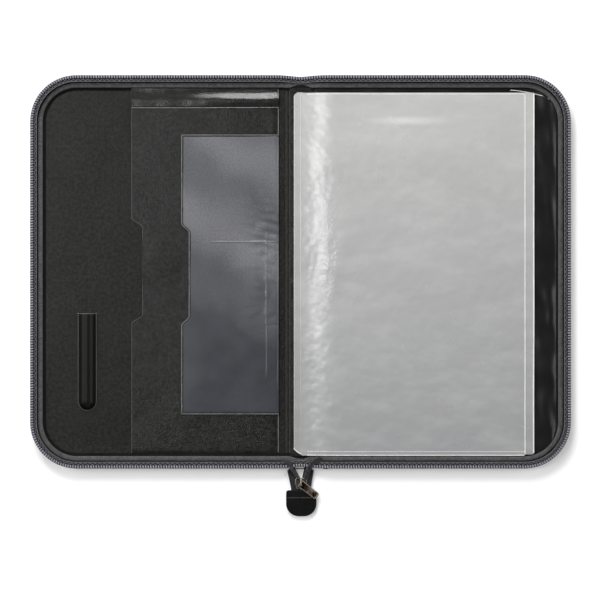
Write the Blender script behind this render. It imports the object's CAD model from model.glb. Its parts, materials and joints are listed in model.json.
"""The looks of an open zip portfolio case with a pocketed front side, a folding spine and page sleeves."""

import json
import logging
import math
from collections.abc import Callable, Sequence
from dataclasses import dataclass, field
from enum import Enum

import bmesh
import bpy
from mathutils import Matrix, Vector, noise


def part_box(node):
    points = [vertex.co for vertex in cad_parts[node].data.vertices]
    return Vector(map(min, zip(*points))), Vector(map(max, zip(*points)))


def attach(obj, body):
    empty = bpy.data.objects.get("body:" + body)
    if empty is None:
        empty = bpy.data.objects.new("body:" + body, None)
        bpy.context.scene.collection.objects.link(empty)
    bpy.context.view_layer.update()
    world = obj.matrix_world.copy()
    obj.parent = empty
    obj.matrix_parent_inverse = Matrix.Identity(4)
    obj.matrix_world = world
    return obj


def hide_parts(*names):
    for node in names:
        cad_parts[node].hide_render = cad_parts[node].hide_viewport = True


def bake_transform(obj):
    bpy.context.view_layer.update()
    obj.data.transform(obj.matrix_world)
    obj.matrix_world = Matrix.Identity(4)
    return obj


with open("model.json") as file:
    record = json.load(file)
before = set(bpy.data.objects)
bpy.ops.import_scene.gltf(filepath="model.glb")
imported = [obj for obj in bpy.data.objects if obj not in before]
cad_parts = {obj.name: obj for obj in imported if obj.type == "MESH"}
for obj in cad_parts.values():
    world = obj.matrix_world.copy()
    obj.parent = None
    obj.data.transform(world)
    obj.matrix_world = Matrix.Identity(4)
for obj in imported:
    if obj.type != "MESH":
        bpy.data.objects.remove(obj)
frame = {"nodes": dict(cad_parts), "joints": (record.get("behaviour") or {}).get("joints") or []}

LOG = logging.getLogger("portfolio_case")
MM = 0.001
SHARP_ANGLE = 40.0

Color = tuple[float, float, float]
Point = tuple[float, float]
Triple = tuple[float, float, float]
Surface = Callable[[float, float], float]
Ends = Callable[[float], Point]
Mesh = bmesh.types.BMesh
Piece = bpy.types.Object
Socket = bpy.types.NodeSocket
Layers = list[tuple[Socket, float]]


class Side(Enum):
    """Which half of the open case a piece belongs to, with the sign of its X."""

    BACK = 1
    FRONT = -1

    @property
    def body(self) -> str:
        """The name of the body that this half rides on."""
        return "back_side" if self is Side.BACK else "front_side"

    @property
    def word(self) -> str:
        """The word that starts this half's piece names."""
        return "back" if self is Side.BACK else "front"


class Held(Enum):
    """How a film sheet is held."""

    LAID = "laid"
    STRETCHED = "stretched"


# ---------------------------------------------------------------- finishes


class Graph:
    """A material's node graph under construction."""

    def __init__(self, name: str) -> None:
        """Starts an empty material with one shader.

        Args:
            name: the material's name.
        """
        self.material = bpy.data.materials.new(name)
        self.material.use_nodes = True
        self.tree = self.material.node_tree
        self.shader = self.tree.nodes["Principled BSDF"]

    def add(self, kind: str, inputs: dict | None = None, **props: object) -> bpy.types.Node:
        """Adds a node.

        Args:
            kind: the node's type name.
            inputs: values or sockets by input name or number.
            **props: the node's own settings.

        Returns:
            The node.
        """
        made = self.tree.nodes.new(kind)
        for key, value in props.items():
            setattr(made, key, value)
        for key, value in (inputs or {}).items():
            if isinstance(value, Socket):
                self.tree.links.new(value, made.inputs[key])
            else:
                made.inputs[key].default_value = value
        return made

    def place(self, along_uv: bool = False) -> Socket:
        """Returns the coordinates that patterns read: the object's own, or its UV map."""
        return self.add("ShaderNodeTexCoord").outputs["UV" if along_uv else "Object"]

    def noise(self, size: float, detail: float = 2.0, at: Socket | None = None) -> Socket:
        """Adds soft noise.

        Args:
            size: the size of its blotches in metres.
            detail: how many finer layers it has.
            at: the coordinates, or None for the object's own.

        Returns:
            The noise value.
        """
        inputs = {"Vector": at or self.place(), "Scale": 1 / size, "Detail": detail}
        made = self.add("ShaderNodeTexNoise", inputs)
        return made.outputs["Fac"]

    def ramp(self, value: Socket, low: float, high: float, to_low: float, to_high: float) -> Socket:
        """Returns value moved from low..high into to_low..to_high, and held there."""
        keys = {"Value": value, "From Min": low, "From Max": high, "To Min": to_low, "To Max": to_high}
        return self.add("ShaderNodeMapRange", keys).outputs["Result"]

    def math(self, operation: str, a: object, b: object = 0.0) -> Socket:
        """Returns the result of a Math node on a and b."""
        return self.add("ShaderNodeMath", {0: a, 1: b}, operation=operation).outputs[0]

    def mix(self, share: Socket, a: object, b: object) -> Socket:
        """Returns colour a turning to b as share goes from 0 to 1."""
        as_color = [(*c, 1.0) if isinstance(c, tuple) and len(c) == 3 else c for c in (a, b)]
        made = self.add("ShaderNodeMix", {0: share, 6: as_color[0], 7: as_color[1]}, data_type="RGBA")
        return made.outputs[2]

    def bump(self, layers: Sequence[tuple[Socket, float]]) -> None:
        """Raises the surface by a stack of patterns.

        Args:
            layers: each pattern's value and its height in metres.
        """
        normal = None
        for value, height in layers:
            keys = {"Height": value, "Distance": height, "Strength": 1.0}
            if normal is not None:
                keys["Normal"] = normal
            normal = self.add("ShaderNodeBump", keys).outputs["Normal"]
        if normal is not None:
            self.tree.links.new(normal, self.shader.inputs["Normal"])

    def set(self, **inputs: object) -> None:
        """Sets or links the shader's inputs, with underscores for the spaces in their names."""
        for key, value in inputs.items():
            socket = self.shader.inputs[key.replace("_", " ")]
            if isinstance(value, Socket):
                self.tree.links.new(value, socket)
            else:
                is_colour = isinstance(value, tuple) and len(value) == 3
                socket.default_value = (*value, 1.0) if is_colour else value


@dataclass(frozen=True)
class Finish:
    """A surface of two tones in soft blotches, with a fine grain.

    Sizes are in metres. Tones are linear colours.
    """

    name: str
    dark: Color
    light: Color
    blotch: float = 0.03
    grain: float = 0.0009
    relief: float = 0.00006
    roughness: float = 0.4
    uneven: float = 0.08
    specular: float = 0.5
    coat: float = 0.0
    coat_roughness: float = 0.15
    sheen: float = 0.0
    metallic: float = 0.0
    swell: float = 0.0
    swell_size: float = 0.02

    def tone(self, graph: Graph) -> Socket:
        """Returns the surface's colour."""
        share = graph.ramp(graph.noise(self.blotch, 3.0), 0.2, 0.8, 0.0, 1.0)
        return graph.mix(share, self.dark, self.light)

    def layers(self, graph: Graph) -> Layers:
        """Returns the patterns that raise the surface, with their heights."""
        made = [(graph.noise(self.grain, 3.0), self.relief)]
        if self.swell:
            made.append((graph.noise(self.swell_size, 1.0), self.swell))
        return made

    def gloss(self, graph: Graph) -> Socket:
        """Returns the roughness, which varies a little in patches."""
        patches = graph.noise(self.blotch * 0.6, 2.0)
        return graph.ramp(patches, 0.15, 0.85, self.roughness - self.uneven, self.roughness + self.uneven)

    def build(self) -> bpy.types.Material:
        """Returns the finished material."""
        graph = Graph(self.name)
        graph.set(
            Base_Color=self.tone(graph),
            Roughness=self.gloss(graph),
            Metallic=self.metallic,
            Specular_IOR_Level=self.specular,
            Coat_Weight=self.coat,
            Coat_Roughness=self.coat_roughness,
            Sheen_Weight=self.sheen,
        )
        graph.bump(self.layers(graph))
        return graph.material


@dataclass(frozen=True)
class Leather(Finish):
    """Leatherette with an embossed pebble grain."""

    pebble: float = 0.0012
    fleck: float = 0.5

    def tone(self, graph: Graph) -> Socket:
        """Returns the blotched colour, paler on the tops of the pebbles."""
        share = graph.ramp(graph.noise(2.4 * self.pebble, 3.0), 0.35, 0.7, 0.0, self.fleck)
        return graph.mix(share, super().tone(graph), tuple(3.0 * c for c in self.light))

    def layers(self, graph: Graph) -> Layers:
        """Returns the pebbles over the fine grain."""
        keys = {"Vector": graph.place(), "Scale": 1 / self.pebble, "Randomness": 1.0}
        cells = graph.add("ShaderNodeTexVoronoi", keys, feature="F1")
        pebbles = graph.ramp(cells.outputs["Distance"], 0.1, 0.7, 1.0, 0.0)
        return [(pebbles, self.relief), *super().layers(graph)]


@dataclass(frozen=True)
class Woven(Finish):
    """Woven tape whose threads follow its own UV map, in metres along and across it."""

    rib: float = 0.0012
    across: float = 0.0007
    rib_height: float = 0.00025

    def stripes(self, graph: Graph, axis: str, period: float) -> Socket:
        """Returns a wave from 0 to 1 along one UV axis, X or Y, with that period."""
        parts = graph.add("ShaderNodeSeparateXYZ", {0: graph.place(True)})
        wobble = graph.math("MULTIPLY", graph.noise(0.002, 1.0), 1.2)
        turn = graph.math("ADD", graph.math("MULTIPLY", parts.outputs[axis], 2 * math.pi / period), wobble)
        return graph.ramp(graph.math("SINE", turn), -1.0, 1.0, 0.0, 1.0)

    def tone(self, graph: Graph) -> Socket:
        """Returns the blotched colour, darker between the threads."""
        base = super().tone(graph)
        ribs = self.stripes(graph, "X", self.rib)
        woven = graph.math("MULTIPLY", ribs, self.stripes(graph, "Y", self.across))
        return graph.mix(graph.ramp(woven, 0.0, 0.6, 0.55, 0.0), base, tuple(0.35 * c for c in self.dark))

    def layers(self, graph: Graph) -> Layers:
        """Returns the threads over the fine grain."""
        ribs = self.stripes(graph, "X", self.rib)
        return [
            (ribs, self.rib_height),
            (self.stripes(graph, "Y", self.across), 0.4 * self.rib_height),
            *super().layers(graph),
        ]


@dataclass(frozen=True)
class PageFilm(Finish):
    """Milky film, clouded where the layers below it touch, with streaks across it."""

    low: Color = (0.3, 0.3, 0.3)
    half_h: float = 0.175
    streak: float = 0.05
    fold_x: float = 0.018
    fold_w: float = 0.011
    band_y: float = 0.144
    band_x: float = 0.1
    crinkle_x: float = 0.031
    crinkle_y: float = 0.02
    crinkle: float = 0.0009

    def bell(self, graph: Graph, value: Socket, middle: float, width: float) -> Socket:
        """Returns a soft hump of height 1 round middle, which ends at width from it."""
        away = graph.math("ABSOLUTE", graph.math("SUBTRACT", value, middle))
        return graph.add(
            "ShaderNodeMapRange",
            {"Value": away, "From Min": 0.0, "From Max": width, "To Min": 1.0, "To Max": 0.0},
            interpolation_type="SMOOTHSTEP",
        ).outputs["Result"]

    def tone(self, graph: Graph) -> Socket:
        """Returns the clouded colour, greyer low down, with pale bands where the film stands off."""
        place = graph.place()
        parts = graph.add("ShaderNodeSeparateXYZ", {0: place})
        wander = graph.math("MULTIPLY", graph.math("SUBTRACT", graph.noise(0.07, 2.0), 0.5), 0.03)
        across = graph.math("ADD", parts.outputs["X"], wander)
        along = graph.math("ADD", parts.outputs["Y"], wander)
        fall = graph.ramp(along, -self.half_h, self.half_h * 0.8, 1.0, 0.0)
        turned = {"Vector": place, "Scale": (0.45, 1.0, 1.0), "Rotation": (0, 0, 0.75)}
        flat = graph.add("ShaderNodeMapping", turned)
        clouds = graph.ramp(graph.noise(self.streak, 3.0, flat.outputs[0]), 0.1, 0.9, 0.0, 1.0)
        shade = graph.mix(fall, graph.mix(clouds, self.dark, self.light), self.low)
        fold = graph.math("MULTIPLY", self.bell(graph, across, self.fold_x, self.fold_w), 0.3)
        fold = graph.math("MULTIPLY", fold, graph.ramp(parts.outputs["Y"], -0.1, -0.04, 0.3, 1.0))
        waved = graph.math("ADD", parts.outputs["Y"], graph.math("MULTIPLY", wander, 0.15))
        band = self.bell(graph, waved, self.band_y, 0.006)
        inner = self.bell(graph, parts.outputs["X"], self.band_x, 0.055)
        pale = graph.math("MAXIMUM", fold, graph.math("MULTIPLY", graph.math("MULTIPLY", band, inner), 0.6))
        fine = graph.ramp(graph.noise(0.014, 3.0, flat.outputs[0]), 0.45, 0.8, 0.0, 0.16)
        return graph.mix(graph.math("MAXIMUM", pale, fine), shade, tuple(1.4 * c for c in self.light))

    def layers(self, graph: Graph) -> Layers:
        """Returns the film's relief, with a crinkled patch beside the bound edge."""
        parts = graph.add("ShaderNodeSeparateXYZ", {0: graph.place()})
        across = self.bell(graph, parts.outputs["X"], self.crinkle_x, 0.016)
        along = self.bell(graph, parts.outputs["Y"], self.crinkle_y, 0.085)
        patch = graph.math("MULTIPLY", graph.math("MULTIPLY", across, along), graph.noise(0.005, 2.0))
        return [(patch, self.crinkle), *super().layers(graph)]


@dataclass(frozen=True)
class ClearFilm(Finish):
    """Thin glossy film that shows what is behind it."""

    alpha: float = 0.25

    def build(self) -> bpy.types.Material:
        """Returns the finished material, partly see-through."""
        made = super().build()
        made.node_tree.nodes["Principled BSDF"].inputs["Alpha"].default_value = self.alpha
        return made


@dataclass(frozen=True)
class FrostedFilm(Finish):
    """Frosted film, hazier where it stands off what is behind it."""

    haze: Color = (0.25, 0.26, 0.28)
    haze_from: float = -0.01
    haze_to: float = 0.06
    bright: Color = (0.2, 0.2, 0.215)
    band: float = 0.085

    def tone(self, graph: Graph) -> Socket:
        """Returns the blotched colour with the haze over its upper part."""
        parts = graph.add("ShaderNodeSeparateXYZ", {0: graph.place()})
        slope = graph.math("ADD", parts.outputs["Y"], graph.math("MULTIPLY", parts.outputs["X"], 0.6))
        wobble = graph.math("MULTIPLY", graph.noise(0.05, 3.0), 0.05)
        share = graph.ramp(graph.math("ADD", slope, wobble), self.haze_from, self.haze_to, 0.0, 1.0)
        turn = graph.math("MULTIPLY", graph.math("ADD", slope, wobble), 2 * math.pi / self.band)
        sheen = graph.ramp(graph.math("SINE", turn), -1.0, 1.0, 0.0, 0.55)
        speck = graph.ramp(graph.noise(0.0016, 2.0), 0.3, 0.7, 0.0, 0.4)
        hazed = graph.mix(share, super().tone(graph), self.haze)
        pale = graph.mix(graph.math("MULTIPLY", sheen, share), hazed, self.bright)
        return graph.mix(speck, pale, self.dark)


@dataclass(frozen=True)
class WornMetal(Finish):
    """Plated metal, rubbed bright along its edges, which the wear attribute marks."""

    bright: Color = (0.85, 0.83, 0.79)

    def tone(self, graph: Graph) -> Socket:
        """Returns the plated colour, bright where the surface is worn."""
        worn = graph.add("ShaderNodeAttribute", attribute_name="wear").outputs["Fac"]
        rubbed = graph.math("MULTIPLY", worn, graph.ramp(graph.noise(0.0015, 2.0), 0.3, 0.6, 0.4, 1.0))
        return graph.mix(rubbed, super().tone(graph), self.bright)


FINISHES = {
    "leatherette": Leather(
        "leatherette", (0.009, 0.0088, 0.0084), (0.013, 0.0125, 0.0115), roughness=0.42, relief=0.00016,
        uneven=0.03,
    ),
    "board": Finish("greyboard", (0.2, 0.18, 0.15), (0.28, 0.25, 0.21), roughness=0.85, specular=0.2),
    "lining": Leather(
        "lining_vinyl", (0.0038, 0.0038, 0.0034), (0.0066, 0.0066, 0.006), 0.05, roughness=0.33, uneven=0.04,
        specular=0.17, pebble=0.0013, relief=0.0001, swell=0.0008, swell_size=0.05, fleck=0.7,
    ),
    "zip_coil": Finish(
        "coil_nylon", (0.19, 0.19, 0.22), (0.34, 0.34, 0.39), 0.004, roughness=0.5, uneven=0.1, specular=0.3
    ),
    "coil_core": Finish("coil_core", (0.006, 0.006, 0.007), (0.014, 0.014, 0.016), 0.004, roughness=0.8),
    "zip_tape": Woven(
        "zip_tape", (0.008, 0.008, 0.0095), (0.02, 0.0195, 0.023), roughness=0.85, specular=0.25, sheen=0.1
    ),
    "thread": Finish("thread", (0.06, 0.06, 0.068), (0.2, 0.2, 0.225), 0.002, grain=0.0003, roughness=0.6),
    "binding": Woven(
        "binding", (0.06, 0.06, 0.06), (0.16, 0.16, 0.16), 0.003, roughness=0.9, specular=0.2, sheen=0.15,
        rib=0.0016, across=0.0011, rib_height=0.0002,
    ),
    "clear_film": ClearFilm(
        "clear_film", (0.006, 0.006, 0.006), (0.012, 0.012, 0.012), 0.04, roughness=0.27, relief=0.00001,
        specular=0.6,
        swell=0.0006, swell_size=0.03, alpha=0.6,
    ),
    "holding_film": Finish(
        "holding_film", (0.005, 0.005, 0.005), (0.02, 0.02, 0.0195), 0.01, roughness=0.25, swell=0.0003,
        swell_size=0.008,
    ),
    "pocket_vinyl": Leather(
        "pocket_vinyl", (0.005, 0.005, 0.0046), (0.0085, 0.0085, 0.008), 0.06, roughness=0.3, uneven=0.03,
        specular=0.24,
        pebble=0.0013, relief=0.0001, swell=0.0007, swell_size=0.04, fleck=0.7,
    ),
    "strip_vinyl": Leather(
        "strip_vinyl", (0.005, 0.005, 0.0046), (0.0085, 0.0085, 0.008), 0.06, roughness=0.22, uneven=0.02,
        specular=0.5,
        pebble=0.0011, relief=0.00004, swell=0.0006, swell_size=0.02,
    ),
    "frosted_film": FrostedFilm(
        "frosted_film", (0.022, 0.024, 0.03), (0.042, 0.044, 0.054), 0.02, roughness=0.36, relief=0.00005,
        haze=(0.085, 0.087, 0.096), haze_from=-0.07, haze_to=0.0,
    ),
    "edge_light": Finish("edge_light", (0.1, 0.1, 0.098), (0.24, 0.24, 0.235), 0.006, roughness=0.3),
    "edging_vinyl": Finish("edging", (0.006, 0.006, 0.006), (0.014, 0.014, 0.014), roughness=0.3),
    "sleeve_vinyl": Finish(
        "sleeve_vinyl", (0.004, 0.004, 0.0037), (0.007, 0.007, 0.0065), roughness=0.38, uneven=0.03,
        specular=0.14,
    ),
    "weld": Finish("weld", (0.035, 0.035, 0.034), (0.08, 0.08, 0.077), 0.004, roughness=0.3),
    "page_weld": PageFilm(
        "page_weld", (0.34, 0.34, 0.335), (0.45, 0.45, 0.44), roughness=0.3, low=(0.27, 0.27, 0.265),
        half_h=0.175,
    ),
    "page_edge": Finish("page_edge", (0.62, 0.62, 0.61), (0.85, 0.85, 0.84), 0.008, roughness=0.25),
    "page_film": PageFilm(
        "page_film", (0.37, 0.37, 0.366), (0.46, 0.46, 0.455), roughness=0.26, uneven=0.03, relief=0.00003,
        low=(0.29, 0.292, 0.297), swell=0.0007, swell_size=0.011,
    ),
    "strand": Leather(
        "coil_end", (0.004, 0.004, 0.005), (0.022, 0.022, 0.025), 0.002, roughness=0.5, pebble=0.0007,
        fleck=1.0,
    ),
    "brown_thread": Finish("brown_thread", (0.12, 0.08, 0.045), (0.2, 0.14, 0.08), 0.004, roughness=0.7),
    "slider_metal": WornMetal(
        "slider_bronze", (0.035, 0.026, 0.018), (0.08, 0.056, 0.038), 0.006, metallic=0.5, roughness=0.36,
        relief=0.00001,
    ),
    "pull_metal": WornMetal(
        "pull_bronze", (0.14, 0.098, 0.062), (0.2, 0.145, 0.092), 0.008, metallic=0.35, roughness=0.36,
        relief=0.00001,
    ),
    "hem": Finish("hem", (0.0025, 0.0025, 0.0025), (0.005, 0.005, 0.005), roughness=0.7, specular=0.1),
    "tab_leather": Leather(
        "tab_leather", (0.002, 0.0023, 0.0019), (0.004, 0.0045, 0.004), roughness=0.45, relief=0.00005,
        specular=0.1, fleck=0.2,
    ),
}


class Dresser:
    """Builds each material once and puts it on the pieces."""

    def __init__(self) -> None:
        """Starts with no material built."""
        self.built: dict[str, bpy.types.Material] = {}

    def dress(self, piece: Piece, finish: str) -> None:
        """Gives a piece one finish all over.

        Args:
            piece: the piece.
            finish: the finish's key in FINISHES.
        """
        if finish not in self.built:
            self.built[finish] = FINISHES[finish].build()
        piece.data.materials.clear()
        piece.data.materials.append(self.built[finish])


# ---------------------------------------------------------------- mesh helpers


def smooth(value: float, low: float, high: float) -> float:
    """Returns 0 below low, 1 above high, and a smooth step between."""
    t = min(1.0, max(0.0, (value - low) / (high - low)))
    return t * t * (3 - 2 * t)


def hump(value: float, middle: float, width: float) -> float:
    """Returns a bell of height 1 at middle that fades over width."""
    return math.exp(-(((value - middle) / width) ** 2))


def ripple(x: float, y: float, size: float, seed: float) -> float:
    """Returns soft noise from about -1 to 1 whose waves are size across."""
    return noise.noise(Vector((x / size, y / size, seed)))


def stations(
    low: float, high: float, step: float, fine: float = 0.0006, marks: Sequence[float] = ()
) -> list[float]:
    """Returns places from low to high, close together at both ends and round each mark.

    Args:
        low: the first place.
        high: the last place.
        step: the distance between places elsewhere.
        fine: the distance between the close ones.
        marks: places with a seam, a crease or an edge.
    """
    count = max(1, round((high - low) / step))
    found = {low + (high - low) * n / count for n in range(count + 1)}
    for mark in (low, high, *marks):
        found |= {mark + n * fine for n in range(-4, 5) if low <= mark + n * fine <= high}
    ordered = sorted(found)
    kept = [ordered[0]]
    for place in ordered[1:-1]:
        if place - kept[-1] > 0.5 * fine and high - place > 0.5 * fine:
            kept.append(place)
    return [*kept, high]


def lattice(
    cols: int,
    rows: int,
    place: Callable[[int, int], Vector],
    uv: Callable[[int, int], Point],
    close: bool = False,
) -> Mesh:
    """Makes a grid and moves each of its points into place.

    Args:
        cols: how many faces it has one way.
        rows: how many faces it has the other way.
        place: gives the point for a column and row number.
        uv: gives the UV coordinates there, in metres.
        close: whether the last column meets the first, as round a tube, whose ends are then filled.

    Returns:
        The mesh.
    """
    bm = bmesh.new()
    bmesh.ops.create_grid(bm, x_segments=cols, y_segments=rows, size=0.5)
    layer = bm.loops.layers.uv.new("UVMap")
    index = {v: (round((v.co.x + 0.5) * cols), round((v.co.y + 0.5) * rows)) for v in bm.verts}
    for face in bm.faces:
        for loop in face.loops:
            loop[layer].uv = uv(*index[loop.vert])
    for vert, at in index.items():
        vert.co = place(*at)
    if close:
        bmesh.ops.remove_doubles(bm, verts=bm.verts, dist=1e-7)
        bmesh.ops.holes_fill(bm, edges=[e for e in bm.edges if e.is_boundary], sides=0)
        bmesh.ops.recalc_face_normals(bm, faces=bm.faces)
    return bm


def thicken(bm: Mesh, thickness: float) -> None:
    """Gives an open sheet thickness downwards, so that it is a closed solid."""
    made = bmesh.ops.extrude_face_region(bm, geom=list(bm.faces), use_keep_orig=True)
    lower = [g for g in made["geom"] if isinstance(g, bmesh.types.BMVert)]
    bmesh.ops.translate(bm, verts=lower, vec=(0, 0, -thickness))
    bmesh.ops.recalc_face_normals(bm, faces=bm.faces)


def stamp(bm: Mesh, template: Mesh, places: Sequence[Matrix]) -> None:
    """Adds a copy of a small shape at each place.

    Args:
        bm: the mesh that takes the copies.
        template: the shape, which is freed.
        places: each copy's transform.
    """
    shape = bpy.data.meshes.new("stamp")
    template.to_mesh(shape)
    template.free()
    for place in places:
        first = len(bm.verts)
        bm.from_mesh(shape)
        bm.verts.ensure_lookup_table()
        bmesh.ops.transform(bm, matrix=place, verts=bm.verts[first:])
    bpy.data.meshes.remove(shape)


def round_edges(bm: Mesh, geom: list, width: float, segments: int, clamp: bool = False) -> None:
    """Rounds edges off.

    Args:
        bm: the mesh.
        geom: the edges, with the corners that are rounded too.
        width: the rounding's width.
        segments: the rounding's number of faces.
        clamp: whether to stop where two roundings would meet.
    """
    bmesh.ops.bevel(
        bm, geom=geom, offset=width, affect="EDGES", segments=segments, profile=0.5, material=-1,
        clamp_overlap=clamp,
    )


def block(size: Triple, bevel: float) -> Mesh:
    """Returns a block with bevelled edges, centred on its own origin."""
    bm = bmesh.new()
    bmesh.ops.create_cube(bm, size=1.0, matrix=Matrix.Diagonal((*size, 1.0)))
    round_edges(bm, [*bm.edges, *bm.verts], bevel, 1)
    return bm


def tube(points: Sequence[Vector], radius: float, sides: int = 6, flat: float = 1.0) -> Mesh:
    """Makes a round or flattened rod along a line.

    Args:
        points: the line.
        radius: the rod's radius across.
        sides: how many sides it has.
        flat: its height as a share of its width.

    Returns:
        The mesh.
    """
    up = Vector((0, 0, 1))

    def place(i: int, j: int) -> Vector:
        """Returns a point on the rod's ring j."""
        ahead = points[min(j + 1, len(points) - 1)] - points[max(j - 1, 0)]
        across = ahead.cross(up).normalized()
        turn = 2 * math.pi * i / sides
        return points[j] + across * radius * math.cos(turn) + up * radius * flat * math.sin(turn)

    def uv(i: int, j: int) -> Point:
        """Returns metres round and along the rod."""
        return (j * (points[1] - points[0]).length, i * radius)

    return lattice(sides, len(points) - 1, place, uv, close=True)


def linked(name: str, data: bpy.types.ID) -> Piece:
    """Returns a new object with that data, in the scene."""
    made = bpy.data.objects.new(name, data)
    bpy.context.scene.collection.objects.link(made)
    return made


def finish_piece(name: str, bm: Mesh, slot: str, finish: str | None = None) -> Piece:
    """Turns a mesh under construction into a piece of the case.

    Args:
        name: the piece's name.
        bm: its mesh, which is freed.
        slot: the material slot that it takes its finish from.
        finish: the key of its finish, where it isn't the slot's own.

    Returns:
        The new object.
    """
    mesh = bpy.data.meshes.new(name)
    bm.to_mesh(mesh)
    bm.free()
    mesh.shade_smooth()
    mesh.set_sharp_from_angle(angle=math.radians(SHARP_ANGLE))
    piece = linked(name, mesh)
    DRESSER.dress(piece, finish or slot)
    LOG.info("%s: %d faces", name, len(mesh.polygons))
    return piece


def finished_copy(name: str, node: str, slot: str, bevel: float, segments: int = 2) -> Piece:
    """Makes a piece with rounded edges from a CAD node's shape, and marks where it would wear.

    Args:
        name: the piece's name.
        node: the CAD node, which the piece replaces.
        slot: the material slot.
        bevel: the rounding's width in metres.
        segments: the rounding's number of faces.

    Returns:
        The new piece.
    """
    bm = bmesh.new()
    bm.from_mesh(frame["nodes"][node].data)
    bmesh.ops.remove_doubles(bm, verts=bm.verts, dist=1e-6)
    bmesh.ops.dissolve_limit(bm, angle_limit=math.radians(2), verts=bm.verts, edges=bm.edges)
    hard = [e for e in bm.edges if e.is_manifold and e.calc_face_angle(0.0) > math.radians(30)]
    round_edges(bm, hard, bevel, segments, True)
    flat = [f for f in bm.faces if abs(f.normal.z) > 0.99 and f.calc_area() > (3 * MM) ** 2]
    bmesh.ops.inset_region(bm, faces=flat, thickness=1.2 * bevel, use_even_offset=True)
    bmesh.ops.triangulate(bm, faces=[f for f in bm.faces if len(f.verts) > 4])
    wear = bm.verts.layers.float.new("wear")
    for vert in bm.verts:
        vert[wear] = min(1.0, max(0.0, (vert.calc_shell_factor() - 1.01) * 9))
    piece = finish_piece(name, bm, slot)
    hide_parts(node)
    return piece


# ---------------------------------------------------------------- the case's sizes


def top_of(node: str) -> float:
    """Returns the height of a CAD node's top."""
    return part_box(node)[1].z


@dataclass
class CaseSizes:
    """The case's main sizes, in metres, read from the frame."""

    corner_r: float = 0.044
    cover_w: float = field(init=False)
    half_h: float = field(init=False)
    lining_x: float = field(init=False)
    lining_y: float = field(init=False)
    lining_top: float = field(init=False)
    fold_x: float = field(init=False)
    fold_z: float = field(init=False)
    coil_z: float = field(init=False)
    coil_h: float = field(init=False)
    spine_coil_z: float = field(init=False)

    def __post_init__(self) -> None:
        """Reads the sizes from the CAD nodes and joints."""
        coil_low, coil_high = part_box("back_zip_coil")
        lining_low, lining_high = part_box("back_lining")
        fold = next(j for j in frame["joints"] if j["name"] == "spine_fold")
        self.cover_w = coil_high.x
        self.half_h = coil_high.y
        self.lining_x = lining_high.x
        self.lining_y = lining_high.y
        self.lining_top = lining_high.z
        self.fold_x = fold["pos_m"][0]
        self.fold_z = fold["pos_m"][2]
        self.coil_z = coil_low.z
        self.coil_h = coil_high.z - coil_low.z
        self.spine_coil_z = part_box("spine_coil_top")[0].z

    def run_length(self) -> float:
        """Returns the length of one half's free edge, from the spine's top to its bottom."""
        straight = 2 * (self.cover_w - self.corner_r) + 2 * (self.half_h - self.corner_r)
        return straight + math.pi * self.corner_r

    def edge(self, run: float) -> tuple[Vector, Vector]:
        """Follows the back half's free edge.

        Args:
            run: the distance along it, from the middle of the spine's top end.

        Returns:
            The point there, and the direction inwards.
        """
        r = self.corner_r
        flat, tall, arc = self.cover_w - r, 2 * (self.half_h - r), math.pi * r / 2
        if run <= flat:
            return Vector((run, self.half_h, 0)), Vector((0, -1, 0))
        run -= flat
        if run <= arc:
            turn = Vector((math.sin(run / r), math.cos(run / r), 0))
            return Vector((flat, self.half_h - r, 0)) + turn * r, -turn
        run -= arc
        if run <= tall:
            return Vector((self.cover_w, self.half_h - r - run, 0)), Vector((-1, 0, 0))
        run -= tall
        if run <= arc:
            turn = Vector((math.cos(run / r), -math.sin(run / r), 0))
            return Vector((flat, r - self.half_h, 0)) + turn * r, -turn
        run -= arc
        return Vector((flat - run, -self.half_h, 0)), Vector((0, 1, 0))

    def rim(self, run: float, inset: float, height: float, side: Side) -> Vector:
        """Returns a point on the raised rim, which sinks and draws in at the spine.

        Args:
            run: the distance along the free edge.
            inset: the distance in from the outline.
            height: the height at the sides, which falls at the spine in step with the coil's.
            side: which half it is on.
        """
        point, inwards = self.edge(run)
        near = 1 - smooth(point.x, 0.4 * self.fold_x, 2.2 * self.fold_x)
        fall = near * (self.coil_z - self.spine_coil_z) * smooth(height, 2 * MM, self.coil_z)
        drawn = 1.2 * MM * hump(point.x, 0.0, 0.010) * smooth(height, 5 * MM, 9 * MM)
        at = point + inwards * (inset + drawn)
        return Vector((side.value * at.x, at.y, height - fall))

    def side_rows(self, inset: float, step: float) -> list[Point]:
        """Lists rows across one half, from its bottom to its top.

        Args:
            inset: the distance in from the free edges.
            step: the distance between rows along the straight part.

        Returns:
            Each row's Y and the X at which it ends.
        """
        r, x1, y1 = self.corner_r - inset, self.cover_w - inset, self.half_h - inset
        turns = [math.radians(6 * n) for n in range(16)]
        upper = [(y1 - r + r * math.sin(t), x1 - r + r * math.cos(t)) for t in turns]
        count = round(2 * (y1 - r) / step)
        middle = [(r - y1 + 2 * (y1 - r) * n / count, x1) for n in range(1, count)]
        return [*((-y, x) for y, x in reversed(upper)), *middle, *upper]

    def blend(self, piece: Piece, side: Side, reach: float) -> None:
        """Bends a piece over one fold, within reach on each side of it."""
        side.body
        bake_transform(piece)


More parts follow.
